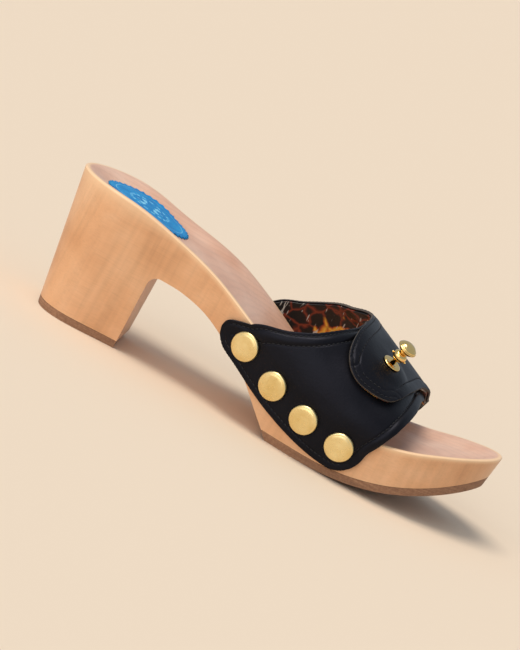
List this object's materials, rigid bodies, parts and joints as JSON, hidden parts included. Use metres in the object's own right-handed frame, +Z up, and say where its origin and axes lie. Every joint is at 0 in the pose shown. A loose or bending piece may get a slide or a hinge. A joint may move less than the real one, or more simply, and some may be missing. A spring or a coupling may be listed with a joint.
{
  "type": "wooden clog",
  "caption": "High-heeled wooden clog slide for the right foot, with nailed black leather bands, capped studs and a turn lock on a leather tab.",
  "frame": {"origin": "middle of the ground plane under the clog's bounding box", "axes": "+X to the toe, +Y to the medial side of a right foot, +Z up"},
  "size_m": [0.236, 0.094, 0.0722],
  "materials": {
    "wood": "satin",
    "tan_rubber": "matte",
    "black_leather": "satin",
    "printed_lining": "gloss",
    "blue_label": "matte",
    "brass": "polished",
    "steel": "plain"
  },
  "bodies": {
    "clog": {"wooden_sole": "wood", "forefoot_outsole": "tan_rubber", "heel_lift": "tan_rubber", "heel_lift_nail_1": "steel", "heel_lift_nail_2": "steel", "heel_lift_nail_3": "steel", "heel_lift_nail_4": "steel", "heel_label": "blue_label", "lateral_band_leather": "black_leather", "lateral_band_lining": "printed_lining", "medial_band_leather": "black_leather", "medial_band_lining": "printed_lining", "lateral_stud_cap_1": "brass", "lateral_stud_nail_1": "steel", "lateral_stud_cap_2": "brass", "lateral_stud_nail_2": "steel", "lateral_stud_cap_3": "brass", "lateral_stud_nail_3": "steel", "lateral_stud_cap_4": "brass", "lateral_stud_nail_4": "steel", "medial_stud_cap_1": "brass", "medial_stud_nail_1": "steel", "medial_stud_cap_2": "brass", "medial_stud_nail_2": "steel", "medial_stud_cap_3": "brass", "medial_stud_nail_3": "steel", "medial_stud_cap_4": "brass", "medial_stud_nail_4": "steel", "lock_keeper": "brass", "keeper_ring": "steel"},
    "tab": {"tab_leather": "black_leather", "tab_lining": "printed_lining", "lock_rosette": "brass", "rosette_washer": "steel"},
    "knob": {"turn_knob": "brass", "knob_cross_pin": "brass", "lock_bar": "steel"}
  },
  "joints": [
    {"name": "tab_open", "type": "hinge", "parent": "clog", "child": "tab", "pos_m": [0.03246, 0.001, 0.06637], "axis": [-0.9018, -0.0117, 0.4321], "range_deg": [0, 60]},
    {"name": "knob_turn", "type": "hinge", "parent": "tab", "child": "knob", "pos_m": [0.0506, -0.01905, 0.05202], "axis": [0.3014, -0.2059, 0.931], "range_deg": [0, 90]}
  ]
}
